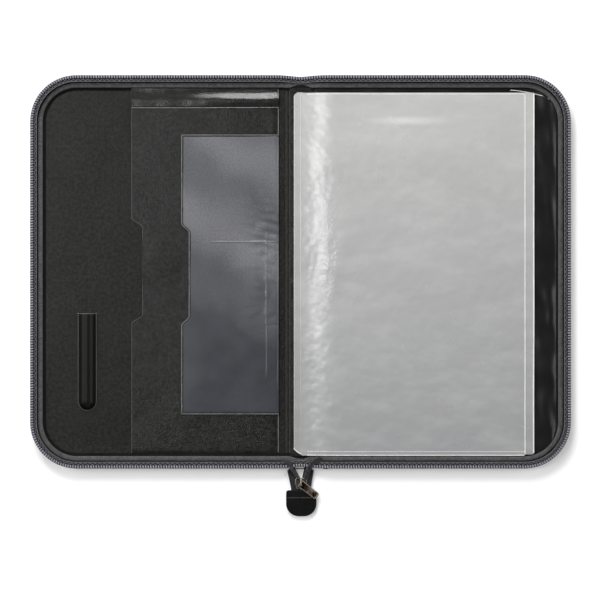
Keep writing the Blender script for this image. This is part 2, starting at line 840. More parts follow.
def panel(
    rows: Sequence[float],
    cols: Sequence[float],
    ends: Ends,
    height: Surface,
    thickness: float,
) -> Mesh:
    """Makes a thin sheet that lies on the case.

    Args:
        rows: the Y of each row.
        cols: each column's share of the width, from 0 to 1.
        ends: gives the X of a row's two ends.
        height: gives the height of the upper face at a point.
        thickness: the sheet's thickness.

    Returns:
        The closed mesh.
    """
    def place(i: int, j: int) -> Vector:
        """Returns the point of column i and row j."""
        x0, x1 = ends(rows[j])
        x = x0 + (x1 - x0) * cols[i]
        return Vector((x, rows[j], height(x, rows[j])))

    def uv(i: int, j: int) -> Point:
        """Returns the place across and along the sheet, in metres."""
        x0, x1 = ends(rows[j])
        return (x0 + (x1 - x0) * cols[i], rows[j])

    bm = lattice(len(cols) - 1, len(rows) - 1, place, uv)
    thicken(bm, thickness)
    return bm


def shares(places: Sequence[float]) -> list[float]:
    """Returns places along a width as shares of it."""
    low, high = places[0], places[-1]
    return [(p - low) / (high - low) for p in places]


# ---------------------------------------------------------------- shell and zip


@dataclass
class Shell:
    """The outer skin and the lining of both halves, each bent over its fold."""

    sizes: CaseSizes
    skin_t: float = 1 * MM
    lining_t: float = 0.6 * MM
    fold_reach: float = 2.6 * MM
    trough: float = 1.3 * MM
    ridge: float = 0.7 * MM
    bulge: float = 0.35 * MM
    skin_edge: float = 0.35 * MM
    skin_reach: float = 4 * MM
    hard_angle: float = 1.2
    middle_gap: float = 1e-5

    def lining_height(self, x: float, y: float) -> float:
        """Returns the lining's height, which sinks into a trough at each fold with the weld's ridge in it."""
        away = abs(x) - self.sizes.fold_x
        dip = self.trough * (1 - smooth(abs(away), 0.9 * MM, self.fold_reach))
        dip -= self.ridge * hump(away, 0.0, 0.7 * MM)
        inner = smooth(abs(away), 3 * MM, 20 * MM) * smooth(self.sizes.lining_y - abs(y), 0.0, 12 * MM)
        return self.sizes.lining_top - dip - self.bulge * inner * (0.5 + 0.5 * ripple(x, y, 0.05, 3.0))

    def build(self) -> None:
        """Makes the skin and the lining of both halves."""
        for side in Side:
            self.build_skin(side)
            self.build_lining(side)

    def build_half(self, side: Side, inset: float, height: Surface, thickness: float) -> Mesh:
        """Makes one half's sheet, from the middle of the spine to near its free edge.

        Args:
            side: which half.
            inset: how far it stops short of the free edge.
            height: gives its upper face's height.
            thickness: its thickness.

        Returns:
            The closed mesh.
        """
        rows = self.sizes.side_rows(inset, 4 * MM)
        ends = {y: x for y, x in rows}
        fold = self.sizes.fold_x
        marks = [fold - 1.5 * MM, fold, fold + 1.5 * MM]
        across = stations(0.0, self.sizes.cover_w - inset, 4 * MM, 0.5 * MM, marks)
        if side is Side.BACK:
            return panel([y for y, _ in rows], shares(across), lambda y: (0.0, ends[y]), height, thickness)
        cols = [1 - c for c in reversed(shares(across))]
        return panel([y for y, _ in rows], cols, lambda y: (-ends[y], 0.0), height, thickness)

    def build_skin(self, side: Side) -> None:
        """Makes one half of the leatherette skin, with its outer edge rolled under."""
        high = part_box("back_skin")[1]

        def height(x: float, y: float) -> float:
            """Returns the height of the skin's inner face."""
            return high.z

        bm = self.build_half(side, self.sizes.cover_w - high.x, height, self.skin_t)
        hard = [e for e in bm.edges if e.is_manifold and e.calc_face_angle(0.0) > self.hard_angle]
        rim = [e for e in hard if all(abs(v.co.x) > self.middle_gap for v in e.verts)]
        round_edges(bm, rim, self.skin_edge, 2)
        piece = finish_piece(f"{side.word}_cover_skin", bm, "leatherette")
        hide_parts(f"{side.word}_skin", "spine_skin")
        self.sizes.blend(piece, side, self.skin_reach)

    def build_lining(self, side: Side) -> None:
        """Makes one half of the vinyl lining."""
        inset = self.sizes.cover_w - self.sizes.lining_x
        bm = self.build_half(side, inset, self.lining_height, self.lining_t)
        piece = finish_piece(f"{side.word}_cover_lining", bm, "lining")
        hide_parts(f"{side.word}_lining", "spine_lining")
        self.sizes.blend(piece, side, self.fold_reach)


@dataclass
class ZipEdge:
    """The zip's tape, coil, seams and binding round the free edge of one half."""

    sizes: CaseSizes
    side: Side
    tape_inset: float = 5.4 * MM
    tape_t: float = 0.8 * MM
    flange_inset: float = 0.8 * MM
    foot_inset: float = 11.3 * MM
    foot_z: float = 1 * MM
    tooth_pitch: float = 2.47 * MM
    tooth: Triple = (3.1 * MM, 1.3 * MM, 1.5 * MM)
    zigzag_pitch: float = 4.6 * MM
    zigzag: Point = (3.6 * MM, 5.3 * MM)
    binding_inset: float = 7 * MM
    binding_w: float = 4.4 * MM
    binding_z: float = 1.8 * MM
    binding_h: float = 5.6 * MM
    rib_pitch: float = 1.25 * MM
    binding_start: float = 1 * MM
    hem_section: Sequence[Point] = ((11.2, 3.2), (11.2, 4.3), (12.6, 4.1), (14.3, 3.66), (14.4, 3.2))
    tooth_bevel: float = 0.45 * MM
    tooth_lean: float = math.radians(8)
    thread_r: float = 0.34 * MM
    cord_inset: float = 5.95 * MM
    cord_r: float = 0.3 * MM
    fold_reach: float = 5 * MM

    def build(self) -> None:
        """Makes all the pieces of this half's zip edge."""
        word = self.side.word
        tape = self.sweep(self.tape_section(), 3 * MM)
        self.place(
            tape, f"{word}_tape", "zip_tape", None, f"{word}_zip_tape", "spine_tape_top", "spine_tape_bottom"
        )
        self.place(self.teeth(), f"{word}_coil_teeth", "zip_coil", None, f"{word}_zip_coil", "spine_coil_top")
        self.place(self.core(), f"{word}_coil_core", "zip_coil", "coil_core")
        self.place(self.zigzag_thread(), f"{word}_zigzag_seam", "zip_tape", "thread")
        self.place(self.edge_cord(), f"{word}_tape_edge", "zip_tape", "thread")
        self.place(self.hem(), f"{word}_inner_hem", "edging_vinyl", "hem")
        self.place(self.binding(), f"{word}_ribbed_binding", "binding", None, f"{word}_binding")

    def place(self, bm: Mesh, name: str, slot: str, finish: str | None, *nodes: str) -> None:
        """Finishes a piece, says which CAD nodes it stands for, and bends it over the fold."""
        piece = finish_piece(name, bm, slot, finish)
        if nodes:
            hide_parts(*nodes)
        self.sizes.blend(piece, self.side, self.fold_reach)

    def tape_section(self) -> list[Point]:
        """Returns the tape's closed section, as insets and heights: foot, wall, and flat top."""
        top, t, inner = self.sizes.coil_z, self.tape_t, self.tape_inset + self.tape_t
        return [
            (self.foot_inset, self.foot_z), (self.foot_inset, self.foot_z + t), (inner, self.foot_z + t),
            (inner, 0.5 * top), (inner, top - 0.6 * t), (inner - 0.3 * MM, top), (0.5 * inner, top),
            (self.flange_inset, top), (self.flange_inset, top - t), (0.5 * self.tape_inset, top - t),
            (self.tape_inset, top - t), (self.tape_inset, 0.5 * top), (self.tape_inset, self.foot_z),
        ]

    def sweep(
        self, section: Sequence[Point], step: float, tweak: Callable[[float, Point], Point] | None = None
    ) -> Mesh:
        """Sweeps a closed section along the free edge.

        Args:
            section: insets and heights.
            step: the distance between rings.
            tweak: changes a section point for a distance along the edge.

        Returns:
            The closed mesh.
        """
        length = self.sizes.run_length()
        count = round(length / step)
        reach = [0.0]
        for a, b in zip(section, [*section[1:], section[0]]):
            reach.append(reach[-1] + math.dist(a, b))

        def place(i: int, j: int) -> Vector:
            """Returns point i of ring j."""
            run = length * j / count
            inset, height = section[i % len(section)]
            if tweak:
                inset, height = tweak(run, (inset, height))
            return self.sizes.rim(run, inset, height, self.side)

        return lattice(len(section), count, place, lambda i, j: (length * j / count, reach[i]), close=True)

    def core(self) -> Mesh:
        """Makes the dark cord that the coil is wound on."""
        z, h = self.sizes.coil_z, self.sizes.coil_h
        inner, outer = 3.1 * MM, 0.1 * MM
        section = [
            (outer, z - 0.2 * h), (inner, z - 0.1 * h), (inner, z + 0.35 * h), (0.75 * inner, z + 0.5 * h),
            (0.3 * inner, z + 0.5 * h), (outer, z + 0.35 * h),
        ]
        return self.sweep(section, 4 * MM)

    def hem(self) -> Mesh:
        """Makes the black hem between the binding and the lining."""
        return self.sweep([(inset * MM, height * MM) for inset, height in self.hem_section], 4 * MM)

    def teeth(self) -> Mesh:
        """Makes the coil's turns, one small rounded block each."""
        bm = bmesh.new()
        count = round(self.sizes.run_length() / self.tooth_pitch)
        places = []
        for n in range(count):
            run = (n + 0.5) * self.sizes.run_length() / count
            height = self.sizes.coil_z + 0.55 * self.sizes.coil_h
            middle = self.sizes.rim(run, 0.5 * self.tooth[0] + 0.05 * MM, height, self.side)
            inwards = self.sizes.edge(run)[1]
            turn = math.atan2(inwards.y, self.side.value * inwards.x) + self.tooth_lean
            places.append(Matrix.Translation(middle) @ Matrix.Rotation(turn, 4, "Z"))
        stamp(bm, block(self.tooth, self.tooth_bevel), places)
        return bm

    def zigzag_thread(self) -> Mesh:
        """Makes the zigzag seam beside the coil."""
        count = round(self.sizes.run_length() / self.zigzag_pitch) * 2
        points = []
        for n in range(count + 1):
            run = self.sizes.run_length() * n / count
            points.append(self.sizes.rim(run, self.zigzag[n % 2], self.sizes.coil_z + 0.1 * MM, self.side))
        return tube(points, self.thread_r, 5, 0.7)

    def edge_cord(self) -> Mesh:
        """Makes the pale line along the tape's inner edge."""
        count = round(self.sizes.run_length() / (3 * MM))
        points = [
            self.sizes.rim(
                self.sizes.run_length() * n / count, self.cord_inset, self.sizes.coil_z + 0.02 * MM, self.side
            )
            for n in range(count + 1)
        ]
        return tube(points, self.cord_r, 6)

    def binding(self) -> Mesh:
        """Makes the ribbed binding, whose ends taper off at the spine."""
        low, high, w, r = self.binding_z, self.binding_z + self.binding_h, self.binding_w, 1.2 * MM
        inner = self.binding_inset + w
        section = [
            (self.binding_inset, low), (self.binding_inset, high - r),
            (self.binding_inset + 0.3 * r, high - 0.3 * r), (self.binding_inset + r, high),
            (self.binding_inset + 0.5 * w, high + 0.1 * MM), (inner - r, high),
            (inner - 0.3 * r, high - 0.3 * r), (inner, high - r), (inner, low),
        ]
        length = self.sizes.run_length()

        def tweak(run: float, at: Point) -> Point:
            """Raises and lowers the ribs, and thins the ends."""
            inset, height = at
            rib = 0.5 + 0.5 * math.cos(2 * math.pi * run / self.rib_pitch)
            rough = ripple(run, inset, 1.6 * MM, 7.0) * 0.25 * MM
            lift = smooth(height, low + 0.5 * MM, high)
            from_end = min(run, length - run)
            thin = 0.12 + 0.88 * smooth(from_end, self.binding_start, self.binding_start + 11 * MM)
            height = low + (height - low) * thin - lift * (0.3 * MM * rib + rough) * thin
            inset = self.binding_inset + (inset - self.binding_inset) * (0.3 + 0.7 * thin)
            return inset, height

        return self.sweep(section, 0.5 * self.rib_pitch, tweak)


# ---------------------------------------------------------------- pockets


@dataclass
class Pockets:
    """The pockets and the pen sleeve on the lining of the front half."""

    panel_t: float = 0.6 * MM
    hem: float = 2 * MM
    notch_slope: float = 9 * MM
    film_t: float = 0.4 * MM
    crease_y: float = 28.5 * MM
    seam_x: float = -32.3 * MM
    document_notch: Point = (10.4 * MM, 50.45 * MM)
    window_notch: Point = (7.1 * MM, 48.75 * MM)

    def build(self) -> None:
        """Makes the document pocket, its top strip, the window pocket and the pen sleeve."""
        self.build_document_pocket()
        self.build_top_strip()
        self.build_window()
        self.build_sleeve()

    def notched(self, low: Vector, high: Vector, depth: float, half: float) -> Ends:
        """Gives the ends of a pocket's rows, with a thumb notch in the open edge.

        Args:
            low: the pocket's lowest corner.
            high: the pocket's highest corner.
            depth: the notch's depth.
            half: half the notch's length.

        Returns:
            A function from Y to the two ends.
        """
        middle = 0.5 * (low.y + high.y)

        def ends(y: float) -> Point:
            """Returns the open end and the closed end of the row at y."""
            inside = 1 - smooth(abs(y - middle), half - self.notch_slope, half)
            return low.x + depth * inside, high.x

        return ends

    def settle(self, x: float, y: float, low: Vector, high: Vector, width: float) -> float:
        """Returns 0 at a pocket's three closed edges and 1 further in than width."""
        return min(smooth(v, 0.0, width) for v in (high.x - x, high.y - y, y - low.y))

    def build_document_pocket(self) -> None:
        """Makes the document pocket's panel, welded down along three edges."""
        low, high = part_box("document_pocket")
        depth, half = self.document_notch
        ends = self.notched(low, high, depth, half)
        middle = 0.5 * (low.y + high.y)
        slopes = [middle + s * (half - d) for s in (-1, 1) for d in (0.0, self.notch_slope)]

        def height(x: float, y: float) -> float:
            """Returns the panel's height, with its weld grooves and a slack belly."""
            down = 1 - self.settle(x, y, low, high, self.hem)
            right = hump(high.x - x, 1.6 * MM, 0.35 * MM)
            groove = 0.25 * MM * (right + hump(high.y - y, 1.6 * MM, 0.4 * MM))
            belly = 0.28 * MM * ripple(x, y, 0.045, 11.0) * smooth(high.x - x, 2 * MM, 14 * MM)
            fold = 0.9 * MM * hump(y, 9 * MM, 17 * MM) * (1 - smooth(x, -140 * MM, -106 * MM)) * (1 - down)
            return high.z - 0.35 * MM + belly - down * 0.9 * MM - groove + fold

        rows = stations(low.y, high.y, 3 * MM, 0.4 * MM, slopes)
        cols = shares(stations(low.x, high.x, 3 * MM, 0.4 * MM))
        bm = panel(rows, cols, ends, height, self.panel_t)
        piece = finish_piece("document_pocket_panel", bm, "pocket_vinyl")
        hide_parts("document_pocket")
        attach(piece, Side.FRONT.body)
        along = stations(low.y + MM, high.y - MM, 6 * MM)
        edge = [Vector((high.x - 0.4 * MM, y, high.z - 0.55 * MM)) for y in along]
        self.line("document_pocket_weld", edge, 0.36 * MM, "weld", "edge_light")
        along = stations(low.y, high.y, 6 * MM, MM, slopes)
        edge = [Vector((ends(y)[0] + 0.2 * MM, y, high.z - 0.35 * MM)) for y in along]
        self.line("document_pocket_edge", edge, 0.3 * MM, "weld", "weld")

    def line(self, name: str, points: Sequence[Vector], radius: float, slot: str, finish: str) -> None:
        """Makes a fine bead along an edge of a pocket.

        Args:
            name: the piece's name.
            points: the line that it follows.
            radius: its radius across.
            slot: its material slot.
            finish: its finish.
        """
        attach(finish_piece(name, tube(points, radius, 6, 0.8), slot, finish), Side.FRONT.body)

    def build_top_strip(self) -> None:
        """Makes the strip along the top of the document pocket, with its rolled upper edge."""
        low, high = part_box("pocket_top_strip")

        def height(x: float, y: float) -> float:
            """Returns the strip's height, which rolls over near its top and is stitched at its bottom."""
            roll = smooth(high.y - y, 2.4 * MM, 11.5 * MM)
            seam = 0.3 * MM * hump(y - low.y, 0.9 * MM, 0.4 * MM)
            towards_spine = smooth(x, -125 * MM, -55 * MM)
            wave = (0.05 + 0.17 * towards_spine) * MM * ripple(x * 0.5, y, 0.011, 17.0)
            swell = (0.1 + 1.1 * towards_spine) * MM * hump(y, low.y + 7.5 * MM, 5.5 * MM)
            return high.z - 1.25 * MM * (1 - roll) * (0.4 + 0.6 * towards_spine) - seam + wave + swell

        rows = stations(low.y, high.y, 0.8 * MM, 0.4 * MM)
        cols = shares(stations(low.x, high.x, 4 * MM, 0.5 * MM))
        bm = panel(rows, cols, lambda y: (low.x, high.x), height, self.panel_t)
        piece = finish_piece("pocket_strip", bm, "pocket_vinyl", "strip_vinyl")
        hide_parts("pocket_top_strip")
        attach(piece, Side.FRONT.body)
        seam = [
            Vector((x, low.y + 0.35 * MM, high.z - 0.1 * MM + 0.35 * MM * hump(x, low.x, 20 * MM)))
            for x in stations(low.x, high.x, 5 * MM)
        ]
        self.line("pocket_strip_edge", seam, 0.36 * MM, "weld", "edge_light")

    def build_window(self) -> None:
        """Makes the frosted window film with its creases, and its edging."""
        low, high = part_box("window_film")
        depth, half = self.window_notch
        ends = self.notched(low, high, depth, half)
        middle = 0.5 * (low.y + high.y)

        def height(x: float, y: float) -> float:
            """Returns the film's height, with its seam, its crease and the wrinkles at the spine side."""
            down = 1 - self.settle(x, y, low, high, self.hem)
            long_seam = hump(x, self.seam_x, 0.45 * MM) * smooth(y, -104 * MM, -98 * MM)
            long_seam *= 1 - smooth(y, 36 * MM, 40 * MM)
            crease = hump(y, self.crease_y, 0.6 * MM) * smooth(x, -90 * MM, -80 * MM)
            wrinkled = smooth(x, -62 * MM, -34 * MM)
            tall = smooth(y, -75 * MM, -45 * MM) * (1 - smooth(y, 50 * MM, 90 * MM))
            wrinkle = wrinkled * tall * 0.9 * MM * abs(ripple(x * 0.7 + 0.4 * y, y - 0.3 * x, 0.014, 23.0))
            near = hump(x, -28 * MM, 16 * MM) * hump(y, 38 * MM, 34 * MM)
            turn = (y + 0.25 * x) * 2 * math.pi / (8 * MM) + 3 * ripple(x, y, 0.02, 61.0)
            wrinkle += 0.5 * MM * near * math.sin(turn)
            billow = 0.8 * MM * ripple(x + 0.3 * y, y, 0.045, 5.0)
            raised = 0.35 * MM * (long_seam + crease) + wrinkle + billow * (1 - down)
            return high.z - 0.2 * MM + raised - down * 0.6 * MM

        slopes = [middle + s * (half - d) for s in (-1, 1) for d in (0.0, self.notch_slope)]
        rows = stations(low.y, high.y, 2 * MM, 0.4 * MM, [*slopes, self.crease_y])
        cols = shares(stations(low.x, high.x, 2 * MM, 0.4 * MM, [self.seam_x]))
        bm = panel(rows, cols, ends, height, self.film_t)
        piece = finish_piece("window_pocket_film", bm, "frosted_film")
        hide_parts("window_film")
        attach(piece, Side.FRONT.body)
        for name, inset, radius, slot, finish in (
            ("window_pocket_edging", 1.25 * MM, 0.5 * MM, "edging_vinyl", "edging_vinyl"),
            ("window_pocket_bead", 0.4 * MM, 0.42 * MM, "edging_vinyl", "edge_light"),
        ):
            left = [
                Vector((ends(y)[0] + inset, y, high.z - 0.05 * MM))
                for y in stations(low.y + inset, high.y - inset, 6 * MM, MM, slopes)
            ]
            along = stations(low.x + inset, high.x, 6 * MM, 2 * MM)
            top = [Vector((x, high.y - inset, high.z - 0.05 * MM)) for x in along]
            bottom = [Vector((p.x, low.y + inset, p.z)) for p in top]
            self.line(name, [*reversed(bottom), *left[1:-1], *top], radius, slot, finish)
        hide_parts("window_edging")

    def build_sleeve(self) -> None:
        """Makes the pen sleeve: an arched tongue of vinyl, welded down round its edge."""
        low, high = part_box("pen_sleeve")
        half, run = 0.5 * (high.x - low.x), high.y - low.y
        x0, flange = 0.5 * (low.x + high.x), self.hem
        arch = half - flange

        def ends(y: float) -> Point:
            """Returns the two edges of the sleeve at y, round at its lower end."""
            below = max(0.0, low.y + half - y)
            w = math.sqrt(max((0.3 * MM) ** 2, half**2 - below**2))
            return x0 - w, x0 + w

        def height(x: float, y: float) -> float:
            """Returns the arch's height over the lining."""
            below = max(0.0, low.y + half - y)
            off = math.hypot(x - x0, below)
            rise = math.sqrt(max(0.0, 1 - (off / arch) ** 2)) if off < arch else 0.0
            return low.z + 0.7 * MM + (high.z - low.z - 0.7 * MM) * rise

        rows = [low.y + half * (1 - math.cos(math.radians(6 * n))) for n in range(16)]
        rows += [rows[-1] + (high.y - rows[-1]) * n / 40 for n in range(1, 41)]
        cols = [0.5 - 0.5 * math.cos(math.pi * n / 40) for n in range(41)]
        bm = panel(rows, cols, ends, height, self.panel_t)
        piece = finish_piece("pen_sleeve_tongue", bm, "sleeve_vinyl")
        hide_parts("pen_sleeve")
        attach(piece, Side.FRONT.body)
        across = stations(x0 - half, x0 + half, 0.5 * MM)
        mouth = [Vector((x, high.y - 0.3 * MM, height(x, high.y))) for x in across]
        self.line("pen_sleeve_lip", mouth, 0.22 * MM, "weld", "edge_light")
        bm = bmesh.new()
        inner = half - 0.5 * flange
        straight = run - half
        count = round((2 * straight + math.pi * inner) / (2.1 * MM))
        places = []
        for n in range(count + 1):
            at = (2 * straight + math.pi * inner) * n / count
            if at < straight:
                spot = Vector((x0 - inner, high.y - at, 0))
            elif at < straight + math.pi * inner:
                turn = (at - straight) / inner
                spot = Vector((x0 - inner * math.cos(turn), low.y + half - inner * math.sin(turn), 0))
            else:
                spot = Vector((x0 + inner, low.y + half + at - straight - math.pi * inner, 0))
            places.append(Matrix.Translation(spot + Vector((0, 0, low.z + 0.75 * MM))))
        stamp(bm, block((0.9 * MM, 0.9 * MM, 0.5 * MM), 0.2 * MM), places)
        dots = finish_piece("pen_sleeve_weld", bm, "weld", "edge_light")
        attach(dots, Side.FRONT.body)


# ---------------------------------------------------------------- pages


@dataclass
class Pages:
    """The page sleeves, the strip that binds them, and the clear film behind them."""

    sizes: CaseSizes
    count: int = 10
    leaf_t: float = 0.22 * MM
    bulge: float = 1.1 * MM
    weld_y: float = -171.3 * MM
    curl_route: Sequence[Triple] = (
        (200, 173.2, 4.5), (207, 172.6, 4.6), (218, 170.8, 4.9), (230, 167.9, 5.1), (237, 164.5, 4.6),
    )
    tops: list[float] = field(init=False)

    def __post_init__(self) -> None:
        """Reads the height of each sleeve from the frame."""
        self.tops = [top_of(f"page_leaf_{n:02d}") for n in range(1, self.count + 1)]

    def leaf_height(self, x: float, y: float, level: int) -> float:
        """Returns the height of a sleeve's upper face.

        Args:
            x: the place across the case.
            y: the place along the case.
            level: the sleeve's number, counted up from 1.
        """
        weld = top_of("page_bound_edge")
        flat = self.tops[level - 1]
        low = weld - (self.count - level) * 0.1 * MM
        share = level / self.count
        rise = smooth(x, -1 * MM, 34 * MM)
        crest = (34 + 9 * (1 - smooth(y, 70 * MM, 115 * MM))) * MM
        tall = (0.4 + 0.6 * smooth(y, -95 * MM, -45 * MM)) * (0.7 + 0.3 * ripple(x, y, 0.12, 2.0))
        back = self.bulge * share * hump(x, crest, 22 * MM) * tall
        sway = 0.5 * ripple(x, y, 0.11, 31.0) + 0.28 * ripple(x * 0.5, y, 0.03, 37.0)
        sway += 0.12 * ripple(x, y, 0.012, 41.0)
        inner = smooth(x, 6 * MM, 30 * MM)
        return low + (flat - low) * rise + back + share * MM * (0.25 + sway) * inner

    def build(self) -> None:
        """Makes all the sleeves, their bound edge and the clear film."""
        for level in range(1, self.count + 1):
            self.build_leaf(level)
        self.build_bound_edge()
        self.build_back_film()

    def build_leaf(self, level: int) -> None:
        """Makes one page sleeve, with its welded bottom seam on the top one."""
        low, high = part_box(f"page_leaf_{level:02d}")
        top = level == self.count
        step = 2.5 * MM if top else 6 * MM
        weld_x = self.axis_x()
        drop = 1.5 * MM if top else 0.4 * MM

        def height(x: float, y: float) -> float:
            """Returns the sleeve's height, with the bead along its seams."""
            welds = hump(high.x - x, 0.7 * MM, 0.5 * MM) + hump(y, self.weld_y, 0.5 * MM)
            bead = 0.12 * MM * welds if top else 0.0
            return self.leaf_height(x, y, level) + bead

        def ends(y: float) -> Point:
            """Returns the row's start at the weld and its free end, with soft corners."""
            corner = max(0.0, 1.5 * MM - min(y - low.y, high.y - y)) ** 2 / (1.5 * MM)
            return weld_x - 0.2 * MM, high.x - corner + 0.25 * MM * ripple(y, level, 0.08, 9.0)

        rows = stations(low.y, high.y - drop, step, 0.5 * MM, [self.weld_y] if top else [])
        cols = shares(stations(weld_x, high.x, step, 0.5 * MM))
        bm = panel(rows, cols, ends, height, self.leaf_t)
        piece = finish_piece(f"page_sleeve_{level:02d}", bm, "page_film")
        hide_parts(f"page_leaf_{level:02d}")
        lower, upper = ("page_block", "top_page") if top else ("spine", "page_block")
        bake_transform(piece)
        if level >= self.count - 1:
            side = [Vector((ends(y)[1] - 0.3 * MM, y, height(high.x, y) - 0.02 * MM)) for y in rows[3::3]]
            bead = tube(side, (0.55 if top else 0.65) * MM, 6, 0.5)
            edge = finish_piece(f"page_edge_{level:02d}", bead, "page_film", "page_edge")
            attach(edge, upper)
        if top:
            self.build_top_edges(low, high, rows[-1], height)

    def build_top_edges(self, low: Vector, high: Vector, top_y: float, height: Surface) -> None:
        """Makes the top sleeve's pale upper and lower edge, and the dotted weld above the lower one."""
        start = low.x + 4 * MM
        for word, y in (("upper", top_y - 0.25 * MM), ("lower", low.y + 0.35 * MM)):
            points = [Vector((x, y, height(x, y))) for x in stations(start, high.x - 1 * MM, 6 * MM, 2 * MM)]
            bm = tube(points, 0.42 * MM, 6, 0.6)
            edge = finish_piece(f"page_{word}_edge", bm, "page_film", "page_edge")
            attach(edge, "top_page")
        bm = bmesh.new()
        count = round((high.x - start) / (2.3 * MM))
        places = []
        for n in range(count):
            x = start + (n + 0.5) * (high.x - start) / count
            places.append(Matrix.Translation((x, self.weld_y, height(x, self.weld_y) + 0.02 * MM)))
        stamp(bm, block((1.5 * MM, 0.7 * MM, 0.3 * MM), 0.12 * MM), places)
        dots = finish_piece("page_weld_dots", bm, "page_film", "page_edge")
        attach(dots, "top_page")

    def axis_x(self) -> float:
        """Returns the X of the line that the sleeves turn on."""
        return next(j for j in frame["joints"] if j["name"] == "top_page_turn")["pos_m"][0]

    def build_bound_edge(self) -> None:
        """Makes the sleeves' bound edge, its two welded lines, and the film that holds it on the spine."""
        low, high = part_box("page_bound_edge")
        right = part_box("page_weld_bead")[1].x

        def height(x: float, y: float) -> float:
            """Returns the bound edge's height, with a weld line near each side."""
            lines = 0.25 * MM * (hump(x, low.x + 1.3 * MM, 0.5 * MM) + hump(x, 0.8 * MM, 0.5 * MM))
            wavy = high.z - 0.15 * MM + lines + 0.12 * MM * ripple(x, y, 0.01, 3.0)
            return wavy - 0.3 * MM * hump(x, low.x, 0.6 * MM)

        def ends(y: float) -> Point:
            """Returns the row's ends, drawn in at the top and bottom corners."""
            lower = 6 * MM * max(0.0, 1 - (y - low.y) / (5 * MM)) ** 1.3
            upper = 3 * MM * (1 - smooth(high.y - y, 0.0, 3 * MM))
            return low.x + (lower + upper), right

        rows = stations(low.y, high.y, 4 * MM, 0.5 * MM)
        cols = shares(stations(low.x, right, 0.5 * MM, 0.25 * MM))
        piece = finish_piece("page_binding_strip", panel(rows, cols, ends, height, 1.1 * MM), "page_weld")
        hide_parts("page_bound_edge", "page_weld_bead")
        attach(piece, "spine")
        corner = stations(low.y, low.y + 6 * MM, 0.7 * MM)
        rim = [Vector((ends(y)[0] + 0.35 * MM, y + 0.3 * MM, high.z - 0.1 * MM)) for y in corner]
        rim = [Vector((right - 0.5 * MM, low.y + 0.3 * MM, high.z - 0.1 * MM)), *rim]
        edge = finish_piece("page_binding_rim", tube(rim, 0.42 * MM, 6, 0.6), "page_weld", "page_edge")
        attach(edge, "spine")
        keep_low, keep_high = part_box("page_retainer")
        strip = panel(
            stations(keep_low.y, keep_high.y, 6 * MM),
            shares(stations(keep_low.x, keep_high.x, 0.8 * MM, 0.4 * MM)),
            lambda y: (keep_low.x, keep_high.x),
            lambda x, y: keep_high.z + 0.1 * MM * ripple(x, y, 0.012, 13.0),
            0.2 * MM,
        )
        film = finish_piece("page_holding_film", strip, "clear_film", "holding_film")
        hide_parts("page_retainer")
        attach(film, "spine")

    def build_back_film(self) -> None:
        """Makes the clear film over the back lining, slack towards its upper outer corner."""
        low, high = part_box("back_film_pocket")
        inset = self.sizes.cover_w - high.x
        rows = self.sizes.side_rows(inset, 4 * MM)
        ends = {y: x for y, x in rows}

        def height(x: float, y: float) -> float:
            """Returns the film's height, with long folds beside the sleeves."""
            outer = smooth(x, 215 * MM, 232 * MM) * (1 - smooth(x, 238 * MM, 244 * MM))
            folds = ripple(x * 1.6 + 0.25 * y, y * 0.3, 0.017, 51.0) + 0.5 * ripple(x, y, 0.014, 53.0)
            raised = high.z + 1.2 * MM * outer * (0.6 + folds)
            return raised - 0.3 * MM * (1 - smooth(high.x - x, 0.0, 3 * MM))

        across = stations(low.x, high.x, 3 * MM, 0.5 * MM)
        bm = panel([y for y, _ in rows], shares(across), lambda y: (low.x, ends[y]), height, 0.2 * MM)
        piece = finish_piece("back_lining_film", bm, "clear_film")
        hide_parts("back_film_pocket")
        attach(piece, Side.BACK.body)
        curl = [Vector(p) * MM for p in self.curl_route]
        edge = finish_piece("back_film_curl", tube(curl, 0.34 * MM, 6), "clear_film", "page_edge")
        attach(edge, Side.BACK.body)


# ---------------------------------------------------------------- zip end


